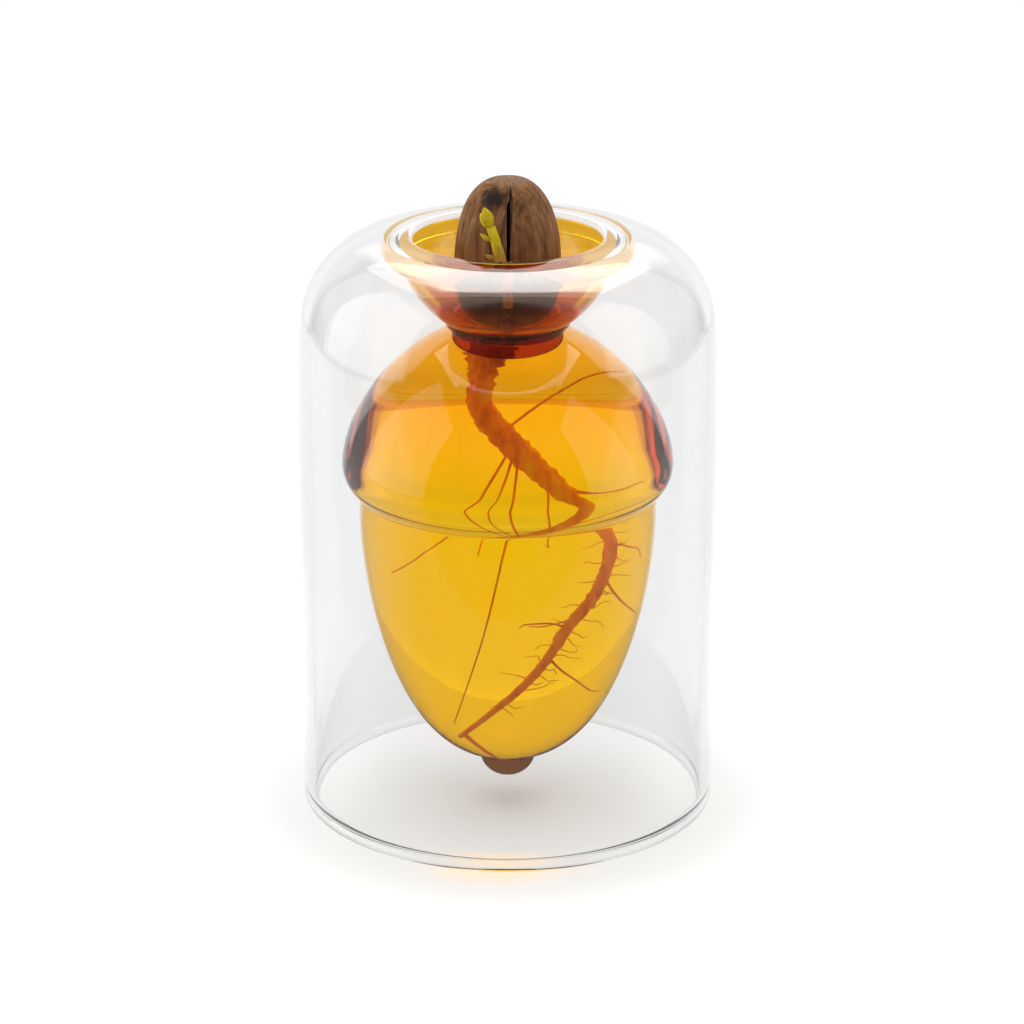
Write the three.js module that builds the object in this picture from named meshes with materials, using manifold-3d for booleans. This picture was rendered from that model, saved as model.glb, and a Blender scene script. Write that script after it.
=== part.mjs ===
// An acorn vase for sprouting a seed. A clear glass cloche stands on its rim, and its shoulder rolls
// in to a round lip. An amber acorn hangs from that lip, flame-sealed from four pieces: a seed
// cup with its neck, the acorn's cap, the nut and a bead at the tip. A sprouting acorn sits in the cup
// with its root hanging in the amber vessel. Only the seedling comes off, by lifting it out.
// Millimetres, +Z up. The origin is on the axis, on the table that the rim stands on.
import * as THREE from 'three';
import { mergeVertices } from 'three/addons/utils/BufferGeometryUtils.js';
import Module from 'manifold-3d';

const wasm = await Module();
wasm.setup();

// Sizes of the amber vessel, from the table up. Radii are of outside faces unless a name says bore.
const TIP_CLEARANCE = 4.3;
const BEAD_RADIUS = 6;
const BEAD_HEIGHT = 5.1;
const NUT_TAPER = 56.5;
const NUT_STRAIGHT = 4.8;
const CAP_RADIUS = 35.8;
const CAP_OVERHANG = 3.6;
const CAP_CURL = 6.7;
const CAP_CROWN = 31.4;
const VESSEL_WALL = 1.6;
const NECK_BORE_RADIUS = 9.2;
const NECK_WALL = 1.7;
const NECK_DIP = 4.9;
const NECK_LENGTH = 1.9;
const CAP_LIP = 1;
const CUP_FOOT = 1.1;
const CUP_DEPTH = 16.6;
const CUP_WALL = 2.4;
const CUP_RIM = 3.4;

// Roundness of the blown forms: 2 is an ellipse, more is squarer, less is more pointed.
const NUT_SIDE = 2.5;
const NUT_END = 1.68;
const CAP_ROUNDNESS = 1.75;
const SHOULDER_ROUNDNESS = 2.43;
const ACORN_ROUNDNESS = 2.5;

// Sizes of the clear cloche. The air gap is what the cap leaves to the tube all round.
const AIR_GAP = 7;
const TUBE_WALL = 2.2;
const SHOULDER_HEIGHT = 25.6;
const LIP_THICKNESS = 2.3;
const COLLAR_LAND = 0.4;
const COLLAR_FILLET = 2.2;
const RIM_BEAD = 3;
const RIM_FLAT = 1;

// Sizes of the sprouting acorn, which stands on its pointed end in the neck's mouth.
const SEAT_LAND = 2.2;
const SEAT_GAP = 0.4;
const MOUTH_GAP = 8.8;
const ACORN_LOWER = 13.5;
const ACORN_UPPER = 21.4;
const SCAR_RADIUS = 4.2;
const TIP_RADIUS = 3.2;
const SHELL_WALL = 1;
const CRACK_TOP_WIDTH = 0.5;
const CRACK_WIDTH = 2.7;
const CRACK_JAG = 0.12;

// Sizes of the root and the shoot.
const COLLAR_ROOT_RADIUS = 2.4;
const COLLAR_ROOT_LENGTH = 16.5;
const COLLAR_ROOT_LEAN = 4.6;
const BUMP_RADIUS = 0.85;
const BUMPS = 11;
const TAPROOT_RADIUS = 2;
const TAPROOT_TIP_RADIUS = 0.45;
const SIDE_ROOT_RADIUS = 0.42;
const SIDE_ROOT_TIP_RADIUS = 0.22;
const STEM_RADIUS = 0.95;
const BUD_LENGTH = 3.8;
const BUD_WIDTH = 3;
const BUD_THICKNESS = 1.8;
const SCALE_LENGTH = 2.8;
const SCALE_WIDTH = 1.1;
const SCALE_THICKNESS = 0.6;

// Clearance that neighbouring pieces keep where the glass is fused or the plant has grown together.
const SEAM = 0.3;

// Facets round a revolved piece.
const GLASS_FACETS = 36;
const PLANT_FACETS = 24;
const BEAD_FACETS = 24;

// Levels and radii that follow from the sizes, from the table up.
const nutRadius = CAP_RADIUS - CAP_OVERHANG;
const beadTop = TIP_CLEARANCE + BEAD_HEIGHT;
const nutBottom = beadTop + SEAM;
const nutTaperTop = nutBottom + NUT_TAPER;
const nutTop = nutTaperTop + NUT_STRAIGHT;
const capBottom = nutTop + SEAM;
const capEquator = capBottom + CAP_CURL;
const neckRadius = NECK_BORE_RADIUS + NECK_WALL;
const capMouth = neckRadius + SEAM;
const waistRadius = capMouth + CAP_LIP;
const capTop = capEquator + ovalRise(waistRadius, CAP_RADIUS, CAP_CROWN, CAP_ROUNDNESS);
const neckEnd = capTop - NECK_DIP;
const neckShoulder = capTop + SEAM;
const cupFloor = neckShoulder + NECK_LENGTH;
const cupTop = cupFloor + CUP_DEPTH;
const collarBottom = cupTop + SEAM;
const collarTop = collarBottom + LIP_THICKNESS;
const shoulderFoot = collarTop - SHOULDER_HEIGHT;
const tubeRadius = CAP_RADIUS + AIR_GAP + TUBE_WALL;

// The acorn is wider than the neck's bore by the land it sits on, and the mouth clears the acorn.
const acornRadius = NECK_BORE_RADIUS + SEAT_LAND;
const mouthRadius = acornRadius + MOUTH_GAP;
const lipCentre = mouthRadius + LIP_THICKNESS / 2;
const lipLevel = collarTop - LIP_THICKNESS / 2;

// The cup is part of a sphere about the axis, through its foot and its rim.
const footRadius = waistRadius + CUP_FOOT;
const cupRadius = mouthRadius + CUP_RIM;
const sphereRise = (cupRadius ** 2 - footRadius ** 2 - CUP_DEPTH ** 2) / (2 * CUP_DEPTH);
const sphereLevel = cupTop + sphereRise;
const sphereRadius = Math.hypot(cupRadius, sphereRise);
const cupBoreTop = Math.sqrt((sphereRadius - CUP_WALL) ** 2 - sphereRise ** 2);
const seatLevel = sphereLevel - Math.sqrt((sphereRadius - CUP_WALL) ** 2 - NECK_BORE_RADIUS ** 2);

// The acorn's lower half narrows from its widest line to the opening that the root comes out of.
const seatShare = (NECK_BORE_RADIUS - SEAT_GAP - TIP_RADIUS) / (acornRadius - TIP_RADIUS);
const acornWaist = seatLevel + ACORN_LOWER * Math.sqrt(1 - seatShare ** 2);
const acornTip = acornWaist - ACORN_LOWER;
const acornTop = acornWaist + ovalRise(SCAR_RADIUS, acornRadius, ACORN_UPPER, ACORN_ROUNDNESS);

// Height over its widest line at which an oval of this reach and rise has this radius.
function ovalRise(radius, reach, rise, roundness) {
  return rise * (1 - (radius / reach) ** roundness) ** (1 / roundness);
}

// Points of a quarter oval about (r, z), from its side at share 0 to its crown at share 1.
// A negative rise turns it downwards; side and crown are its roundness each way.
function quarter({ r = 0, z, reach, rise, side = 2, crown = side, from = 0, to = 1, steps = 8 }) {
  const points = [];
  for (let i = 0; i <= steps; i += 1) {
    const angle = (Math.PI / 2) * THREE.MathUtils.lerp(from, to, i / steps);
    const across = Math.max(Math.cos(angle), 0) ** (2 / side);
    const along = Math.sin(angle) ** (2 / crown);
    points.push(new THREE.Vector2(r + reach * across, z + rise * along));
  }
  return points;
}

// Share of a quarter oval at which it has narrowed to this radius.
function shareAtRadius(radius, reach, side) {
  return Math.acos((radius / reach) ** (side / 2)) / (Math.PI / 2);
}

// Points of a circle about (r, z), between two angles in degrees from the outward direction.
function arc(r, z, radius, fromDegrees, toDegrees, steps) {
  const points = [];
  for (let i = 0; i <= steps; i += 1) {
    const angle = THREE.MathUtils.degToRad(THREE.MathUtils.lerp(fromDegrees, toDegrees, i / steps));
    points.push(new THREE.Vector2(r + radius * Math.cos(angle), z + radius * Math.sin(angle)));
  }
  return points;
}

const at = (r, z) => new THREE.Vector2(r, z);

// Solid of revolution about +Z from a profile of (radius, height) points.
function revolve(profile, facets) {
  return new THREE.LatheGeometry(profile, facets).rotateX(Math.PI / 2);
}

// Exact solid of a closed geometry, for joining and cutting.
function solid(geometry) {
  const bare = geometry.clone();
  bare.deleteAttribute('normal');
  bare.deleteAttribute('uv');
  const merged = mergeVertices(bare, 1e-4);
  const corners = merged.index.array;
  const triangles = [];
  for (let i = 0; i < corners.length; i += 3) {
    const [a, b, c] = [corners[i], corners[i + 1], corners[i + 2]];
    if (a !== b && b !== c && c !== a) triangles.push(a, b, c);
  }
  return new wasm.Manifold(new wasm.Mesh({
    numProp: 3,
    vertProperties: new Float32Array(merged.attributes.position.array),
    triVerts: new Uint32Array(triangles),
  }));
}

// Geometry of an exact solid.
function geometryOf(manifold) {
  const mesh = manifold.getMesh();
  const geometry = new THREE.BufferGeometry();
  geometry.setAttribute('position', new THREE.BufferAttribute(new Float32Array(mesh.vertProperties), 3));
  geometry.setIndex(new THREE.BufferAttribute(new Uint32Array(mesh.triVerts), 1));
  geometry.computeVertexNormals();
  return geometry;
}

// Closed tube along a curve, whose radius follows a function of the share of its length.
function taperedTube(curve, radiusAt, sides, steps) {
  const frames = curve.computeFrenetFrames(steps);
  const positions = [];
  for (let i = 0; i <= steps; i += 1) {
    const centre = curve.getPointAt(i / steps);
    const radius = radiusAt(i / steps);
    for (let j = 0; j < sides; j += 1) {
      const angle = (2 * Math.PI * j) / sides;
      const spoke = frames.normals[i].clone().multiplyScalar(Math.cos(angle) * radius);
      spoke.addScaledVector(frames.binormals[i], Math.sin(angle) * radius);
      positions.push(...centre.clone().add(spoke));
    }
  }
  positions.push(...curve.getPointAt(0), ...curve.getPointAt(1));
  const first = sides * (steps + 1);
  const index = [];
  for (let j = 0; j < sides; j += 1) {
    const next = (j + 1) % sides;
    for (let i = 0; i < steps; i += 1) {
      const low = i * sides;
      const high = low + sides;
      index.push(low + j, low + next, high + next, low + j, high + next, high + j);
    }
    index.push(first, next, j, first + 1, steps * sides + j, steps * sides + next);
  }
  const geometry = new THREE.BufferGeometry();
  geometry.setAttribute('position', new THREE.Float32BufferAttribute(positions, 3));
  geometry.setIndex(index);
  geometry.computeVertexNormals();
  return geometry;
}

// Clear cloche: fire-polished rim, straight tube, domed shoulder and round lip in one wall.
// A collar of clear glass runs down round the cup's rim and is filleted to the shoulder's inside.
function clocheGeometry() {
  const bead = RIM_BEAD / 2;
  const beadCentre = tubeRadius - bead;
  const shoulderReach = tubeRadius - lipCentre;
  const innerReach = shoulderReach - TUBE_WALL;
  const innerRise = SHOULDER_HEIGHT - TUBE_WALL;
  const collarBore = cupRadius + SEAM;
  const filletEnd = collarBore + COLLAR_LAND + COLLAR_FILLET;
  const filletTop = shoulderFoot + ovalRise(filletEnd - lipCentre, innerReach, innerRise, SHOULDER_ROUNDNESS);
  const collarFoot = filletTop - COLLAR_FILLET;
  return revolve([
    at(beadCentre - RIM_FLAT / 2, 0),
    at(beadCentre + RIM_FLAT / 2, 0),
    ...arc(beadCentre, bead, bead, -60, 0, 3),
    ...quarter({
      r: lipCentre, z: shoulderFoot, reach: shoulderReach, rise: SHOULDER_HEIGHT,
      side: SHOULDER_ROUNDNESS, steps: 11,
    }),
    ...arc(lipCentre, lipLevel, LIP_THICKNESS / 2, 105, 180, 4),
    at(cupBoreTop, collarBottom),
    at(collarBore, collarBottom),
    at(collarBore, collarFoot),
    ...arc(filletEnd, collarFoot, COLLAR_FILLET, 180, 90, 4),
    ...quarter({
      r: lipCentre, z: shoulderFoot, reach: innerReach, rise: innerRise, side: SHOULDER_ROUNDNESS,
      to: shareAtRadius(filletEnd - lipCentre, innerReach, SHOULDER_ROUNDNESS), steps: 8,
    }).reverse().slice(1),
    at(tubeRadius - TUBE_WALL, RIM_BEAD + bead / 2),
    ...arc(beadCentre, bead, bead, 140, 240, 4),
    at(beadCentre - RIM_FLAT / 2, 0),
  ], GLASS_FACETS);
}

// Seed cup: a bowl that narrows to a foot over the waist, with a short neck that dips into the cap.
function seedCupGeometry() {
  const degrees = THREE.MathUtils.radToDeg;
  const sphereArc = (radius, low, high, steps) => arc(0, sphereLevel, radius, low, high, steps);
  const low = (radius, sphere) => -degrees(Math.acos(radius / sphere));
  const rim = (radius) => -degrees(Math.atan2(sphereRise, radius));
  const inside = sphereRadius - CUP_WALL;
  const roundEnd = NECK_WALL / 2;
  return revolve([
    ...arc(NECK_BORE_RADIUS + roundEnd, neckEnd + roundEnd, roundEnd, 180, 360, 4),
    at(neckRadius, neckShoulder),
    at(waistRadius, neckShoulder),
    at(waistRadius, cupFloor),
    ...sphereArc(sphereRadius, low(footRadius, sphereRadius), rim(cupRadius), 8),
    ...sphereArc(inside, rim(cupBoreTop), low(NECK_BORE_RADIUS, inside), 8),
    at(NECK_BORE_RADIUS, neckEnd + roundEnd),
  ], GLASS_FACETS);
}

// Acorn cap: a pointed dome with a mouth for the neck and a lower edge that curls under to the nut.
function capGeometry() {
  const crown = (inset, mouth) => quarter({
    z: capEquator, reach: CAP_RADIUS - inset, rise: CAP_CROWN - inset, side: CAP_ROUNDNESS,
    to: shareAtRadius(mouth, CAP_RADIUS - inset, CAP_ROUNDNESS), steps: 9,
  });
  const curl = (inset) => quarter({
    r: nutRadius - inset, z: capEquator, reach: CAP_OVERHANG, rise: inset - CAP_CURL, steps: 5,
  });
  return revolve([
    ...curl(0).reverse(),
    ...crown(0, waistRadius).slice(1),
    at(capMouth, capTop),
    ...crown(VESSEL_WALL, capMouth).reverse(),
    ...curl(VESSEL_WALL).slice(1),
    at(nutRadius - VESSEL_WALL, capBottom),
    at(nutRadius, capBottom),
  ], GLASS_FACETS);
}

// Inside or outside of the nut, from its upright band down to the axis.
function nutProfile(inset, steps) {
  return [at(nutRadius - inset, nutTop), ...quarter({
    z: nutTaperTop, reach: nutRadius - inset, rise: inset - NUT_TAPER, side: NUT_SIDE, crown: NUT_END, steps,
  })];
}

// Nut: an egg-shaped vessel that is closed below and open to the cap.
function nutGeometry() {
  return revolve([...nutProfile(0, 12).reverse(), ...nutProfile(VESSEL_WALL, 11)], GLASS_FACETS);
}

// Tip bead: a solid half drop under the nut.
function beadGeometry() {
  const drop = quarter({ z: beadTop, reach: BEAD_RADIUS, rise: -BEAD_HEIGHT, steps: 6 });
  return revolve([...drop.reverse(), at(0, beadTop)], BEAD_FACETS);
}

// Radius of the acorn's outside above its widest line.
function acornRadiusAt(level) {
  const share = Math.max(level - acornWaist, 0) / ACORN_UPPER;
  return acornRadius * (1 - share ** ACORN_ROUNDNESS) ** (1 / ACORN_ROUNDNESS);
}

// Outline of the acorn, this far inside its outside face, from the root's opening up to the scar.
function acornProfile(inset) {
  const upper = acornRadius - inset;
  const scar = SCAR_RADIUS - inset / 2;
  return [
    ...quarter({
      r: TIP_RADIUS, z: acornWaist, reach: upper - TIP_RADIUS, rise: inset - ACORN_LOWER, steps: 7,
    }).reverse(),
    ...quarter({
      z: acornWaist, reach: upper, rise: ACORN_UPPER - inset, side: ACORN_ROUNDNESS,
      to: shareAtRadius(scar, upper, ACORN_ROUNDNESS), steps: 8,
    }).slice(1),
  ];
}

// Wedge of the split in the shell's front: narrow and jagged at the scar, wide at the root's end.
function crackGeometry() {
  const edge = (side) => {
    const points = [];
    const steps = 7;
    for (let i = 0; i <= steps; i += 1) {
      const share = i / steps;
      const width = THREE.MathUtils.lerp(CRACK_TOP_WIDTH, CRACK_WIDTH, Math.min(2 * share, 1));
      const jag = i % 2 ? CRACK_JAG : -CRACK_JAG;
      const level = THREE.MathUtils.lerp(acornTop + SHELL_WALL, acornTip - SHELL_WALL, share);
      points.push(at((side * width) / 2 + jag, level));
    }
    return points;
  };
  const outline = new THREE.Shape([...edge(-1), ...edge(1).reverse()]);
  const depth = 2 * acornRadius;
  const wedge = new THREE.ExtrudeGeometry(outline, { depth, bevelEnabled: false });
  return wedge.rotateX(Math.PI / 2).translate(0, -TIP_RADIUS, 0);
}

// Acorn shell: hollow, open at the pointed end for the root, split down its front.
function shellGeometry() {
  const outside = acornProfile(0);
  const inside = acornProfile(SHELL_WALL).reverse();
  const scarInside = acornTop - SHELL_WALL;
  const top = [at(0, acornTop), at(0, scarInside)];
  const whole = revolve([...outside, ...top, ...inside.slice(1), outside[0]], PLANT_FACETS);
  return geometryOf(solid(whole).subtract(solid(crackGeometry())));
}

// Seed leaves: the kernel that fills the shell, in two halves with the split between them.
function seedLeafGeometry(side) {
  const inset = SHELL_WALL + SEAM;
  const outline = acornProfile(inset);
  const low = outline[0].y;
  const high = acornTop - inset;
  const capped = outline.filter((point) => point.y < high);
  const kernel = revolve([at(0, low), ...capped, at(0, high)], PLANT_FACETS);
  const size = 4 * acornRadius;
  const half = new THREE.BoxGeometry(size, size, size);
  half.translate(side * (size + SEAM) / 2, 0, (low + high) / 2);
  return geometryOf(solid(kernel).intersect(solid(half)));
}

// Root collar: the thick bumpy neck of the root, which leans to one side as it leaves the acorn.
const collarRootTop = acornTip + SHELL_WALL / 2;
const collarRootEnd = collarRootTop - COLLAR_ROOT_LENGTH;
const collarRootAt = (lean, drop) => (
  new THREE.Vector3(-lean * COLLAR_ROOT_LEAN, 0, collarRootTop - drop * COLLAR_ROOT_LENGTH)
);
const collarRootCurve = new THREE.CatmullRomCurve3([
  collarRootAt(0, 0),
  collarRootAt(0.06, 0.1),
  collarRootAt(0.5, 0.32),
  collarRootAt(0.88, 0.58),
  collarRootAt(1, 1),
]);

// It swells a little below the acorn, then narrows to the taproot.
function collarRootRadius(share) {
  const swell = 1 + 0.45 * Math.sin(Math.PI * Math.min(share / 0.8, 1));
  return THREE.MathUtils.lerp(COLLAR_ROOT_RADIUS, TAPROOT_RADIUS, share ** 2) * swell;
}

function rootCollarGeometry() {
  let body = solid(taperedTube(collarRootCurve, collarRootRadius, 10, 12));
  const goldenAngle = Math.PI * (3 - Math.sqrt(5));
  for (let i = 0; i < BUMPS; i += 1) {
    const share = THREE.MathUtils.lerp(0.3, 0.85, i / (BUMPS - 1));
    const angle = i * goldenAngle;
    const spoke = new THREE.Vector3(Math.cos(angle), Math.sin(angle), 0);
    const centre = collarRootCurve.getPointAt(share).addScaledVector(spoke, collarRootRadius(share) * 0.8);
    const bump = new THREE.IcosahedronGeometry(BUMP_RADIUS, 1).translate(centre.x, centre.y, centre.z);
    body = body.add(solid(bump));
  }
  return geometryOf(body);
}

// Taproot: zigzags down the vessel in one plane. Its route and those of the side roots are shares of
// the vessel's inside radius and of the height from the nut's floor to the neck's end.
const rootSpan = nutRadius - VESSEL_WALL;
const rootFloor = nutBottom + VESSEL_WALL;
const rootHeight = neckEnd - rootFloor;
const inVessel = (x, z, y = 0) => new THREE.Vector3(x * rootSpan, y * rootSpan, rootFloor + z * rootHeight);

const taprootCurve = new THREE.CatmullRomCurve3([
  new THREE.Vector3(-COLLAR_ROOT_LEAN, 0, collarRootEnd - SEAM),
  inVessel(-0.155, 0.825),
  inVessel(-0.06, 0.775, 0.02),
  inVessel(0.15, 0.705, -0.02),
  inVessel(0.43, 0.615, 0.01),
  inVessel(0.54, 0.54, 0.03),
  inVessel(0.51, 0.435, 0),
  inVessel(0.37, 0.355, -0.03),
  inVessel(0.24, 0.272, -0.01),
  inVessel(0.085, 0.2, 0.02),
  inVessel(-0.07, 0.145, 0.01),
  inVessel(-0.25, 0.085, -0.02),
]);

// It thickens a little towards its elbow, then tapers to the tip.
function taprootRadius(share) {
  const swell = 1 + 0.1 * Math.sin(Math.PI * Math.min(share / 0.7, 1));
  return THREE.MathUtils.lerp(TAPROOT_RADIUS, TAPROOT_TIP_RADIUS, share) * swell;
}

// Side roots: where each leaves the taproot, as a share of its length, where it ends, and its sag.
const sideRoots = [
  { leaves: 0.12, x: 0.7, z: 0.91, y: 0.1, sag: 0.03 },
  { leaves: 0.17, x: -0.3, z: 0.12, y: -0.14, sag: -0.16 },
  { leaves: 0.15, x: -0.6, z: 0.46, y: 0.12, sag: -0.05 },
  { leaves: 0.16, x: -0.15, z: 0.55, y: -0.2, sag: 0.02 },
  { leaves: 0.24, x: 0.22, z: 0.56, y: -0.16, sag: -0.1 },
  { leaves: 0.27, x: 0.72, z: 0.67, y: 0.14, sag: -0.03 },
  { leaves: 0.44, x: 0.78, z: 0.52, y: -0.1, sag: 0.02 },
  { leaves: 0.51, x: 0.7, z: 0.36, y: 0.08, sag: -0.03 },
  { leaves: 0.58, x: 0.12, z: 0.34, y: 0.16, sag: -0.03 },
  { leaves: 0.65, x: 0.06, z: 0.37, y: -0.14, sag: 0.02 },
  { leaves: 0.73, x: 0.46, z: 0.18, y: 0.1, sag: -0.03 },
];

// Taproot and side roots are one growth, so they are joined into one solid.
function taprootGeometry() {
  let body = solid(taperedTube(taprootCurve, taprootRadius, 8, 40));
  for (const { leaves, x, z, y, sag } of sideRoots) {
    const start = taprootCurve.getPointAt(leaves);
    const end = inVessel(x, z, y);
    const bend = start.clone().lerp(end, 0.5).add(new THREE.Vector3(0, 0, sag * rootHeight));
    const curve = new THREE.QuadraticBezierCurve3(start, bend, end);
    const radius = (share) => THREE.MathUtils.lerp(SIDE_ROOT_RADIUS, SIDE_ROOT_TIP_RADIUS, share);
    body = body.add(solid(taperedTube(curve, radius, 5, 8)));
  }
  return geometryOf(body);
}

// Point off the front of the acorn, in shares of its half width and its upper height.
// The lift is outwards from its surface, in stem radii.
function offAcorn(across, up, lift) {
  const x = across * acornRadius;
  const level = acornWaist + up * ACORN_UPPER;
  const radius = acornRadiusAt(level) + lift * STEM_RADIUS;
  return new THREE.Vector3(x, -Math.sqrt(radius ** 2 - x ** 2), level);
}

// Shoot: a stem that comes out of the split in the shell and leans to one side, with its bud on top.
const stemCurve = new THREE.CatmullRomCurve3([
  offAcorn(0.01, -0.18, -0.15),
  offAcorn(0.01, -0.045, -0.15),
  offAcorn(-0.01, 0.135, 1.4),
  offAcorn(-0.14, 0.3, 2),
  offAcorn(-0.26, 0.48, 2.3),
  offAcorn(-0.36, 0.61, 2.9),
]);

function stemGeometry() {
  const swell = (share) => STEM_RADIUS * (1 + 0.25 * Math.sin(Math.PI * share));
  return taperedTube(stemCurve, swell, 8, 16);
}

// Flat pointed leaf or bud along +Z, with its foot at the origin.
function budGeometry(length, width, thickness) {
  const profile = [];
  const steps = 6;
  for (let i = 0; i <= steps; i += 1) {
    const share = i / steps;
    const fullness = Math.sin(Math.PI * share) ** 0.7 * (1 - 0.25 * share);
    profile.push(at(i % steps ? (width / 2) * fullness : 0, length * share));
  }
  return revolve(profile, 10).scale(1, thickness / width, 1);
}

// The bud carries on the stem's line from its end; the scales stand off the stem's left side.
const stemEnd = stemCurve.getPointAt(1);
const stemDirection = stemCurve.getTangentAt(1);
const budFoot = stemEnd.clone().addScaledVector(stemDirection, SEAM);
const scalePlaces = [
  { name: 'scale_leaf_lower', share: 0.62, lean: -70 },
  { name: 'scale_leaf_upper', share: 0.84, lean: -50 },
];

function along(direction) {
  return new THREE.Quaternion().setFromUnitVectors(new THREE.Vector3(0, 0, 1), direction);
}

// Finishes, one for each material that the object is made of.
const finish = (color, roughness) => new THREE.MeshStandardMaterial({ color, roughness, metalness: 0 });
const clearGlass = finish(0xe9eff0, 0.03);
const amberGlass = finish(0xe0a010, 0.04);
const darkAmberGlass = finish(0x9a4a10, 0.06);
const acornBrown = finish(0x6d4630, 0.55);
const seedLeafBrown = finish(0x4a2f1e, 0.7);
const rootBrown = finish(0xb5651d, 0.7);
const shootGreen = finish(0xb9b41e, 0.6);

const vase = new THREE.Group();

function add(name, geometry, material) {
  const mesh = new THREE.Mesh(geometry, material);
  mesh.name = name;
  vase.add(mesh);
  return mesh;
}

add('cloche', clocheGeometry(), clearGlass);
add('seed_cup', seedCupGeometry(), amberGlass);
add('acorn_cap', capGeometry(), amberGlass);
add('acorn_nut', nutGeometry(), amberGlass);
add('tip_bead', beadGeometry(), darkAmberGlass);
add('seed_shell', shellGeometry(), acornBrown);
add('seed_leaf_left', seedLeafGeometry(-1), seedLeafBrown);
add('seed_leaf_right', seedLeafGeometry(1), seedLeafBrown);
add('root_collar', rootCollarGeometry(), rootBrown);
add('taproot', taprootGeometry(), rootBrown);
add('shoot_stem', stemGeometry(), shootGreen);
const bud = add('shoot_bud', budGeometry(BUD_LENGTH, BUD_WIDTH, BUD_THICKNESS), shootGreen);
bud.position.copy(budFoot);
bud.quaternion.copy(along(stemDirection));
for (const { name, share, lean } of scalePlaces) {
  const scale = add(name, budGeometry(SCALE_LENGTH, SCALE_WIDTH, SCALE_THICKNESS), shootGreen);
  const outward = STEM_RADIUS * 1.25 + SEAM;
  const tilt = THREE.MathUtils.degToRad(lean);
  scale.position.copy(stemCurve.getPointAt(share)).add(new THREE.Vector3(-outward, 0, 0));
  scale.rotation.y = tilt;
}

export default vase;
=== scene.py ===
import math
import random

import bmesh
import bpy
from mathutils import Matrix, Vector, noise


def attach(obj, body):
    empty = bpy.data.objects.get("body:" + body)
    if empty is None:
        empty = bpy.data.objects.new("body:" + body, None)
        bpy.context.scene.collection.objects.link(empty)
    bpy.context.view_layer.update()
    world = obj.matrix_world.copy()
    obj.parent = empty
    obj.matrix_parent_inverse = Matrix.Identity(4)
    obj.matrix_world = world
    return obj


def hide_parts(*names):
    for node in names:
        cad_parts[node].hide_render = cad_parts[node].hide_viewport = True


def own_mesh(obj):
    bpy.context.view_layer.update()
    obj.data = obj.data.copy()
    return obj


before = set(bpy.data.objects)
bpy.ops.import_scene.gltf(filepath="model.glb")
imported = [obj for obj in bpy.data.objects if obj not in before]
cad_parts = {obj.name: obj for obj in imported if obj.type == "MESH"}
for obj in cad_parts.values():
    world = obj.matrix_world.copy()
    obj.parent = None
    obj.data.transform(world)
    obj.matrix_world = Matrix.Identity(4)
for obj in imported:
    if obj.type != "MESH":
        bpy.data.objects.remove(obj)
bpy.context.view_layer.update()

# Camera: a long lens that looks down at the middle of the amber acorn from nearly 20 degrees above it,
# where the photograph was taken from. Light may cross as many faces of glass as the vase has in its way.
CAMERA_ELEVATION = math.radians(19.71)
CAMERA_DISTANCE = 0.8777
AIM_HEIGHT = 0.065
GLASS_BOUNCES = 28
lens = bpy.data.cameras.new("camera")
lens.sensor_width = 36
lens.lens = 142.08
lens.shift_x = 0.0042
lens.shift_y = 0.0016
camera = bpy.data.objects.new("camera", lens)
camera.location = (
    0,
    -CAMERA_DISTANCE * math.cos(CAMERA_ELEVATION),
    AIM_HEIGHT + CAMERA_DISTANCE * math.sin(CAMERA_ELEVATION),
)
camera.rotation_euler = (math.pi / 2 - CAMERA_ELEVATION, 0, 0)
bpy.context.scene.collection.objects.link(camera)
bpy.context.scene.camera = camera
bpy.context.scene.view_settings.view_transform = "Standard"
bpy.context.scene.cycles.max_bounces = GLASS_BOUNCES
bpy.context.scene.cycles.transmission_bounces = GLASS_BOUNCES
bpy.context.scene.cycles.glossy_bounces = GLASS_BOUNCES
bpy.context.scene.cycles.transparent_max_bounces = 32


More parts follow.
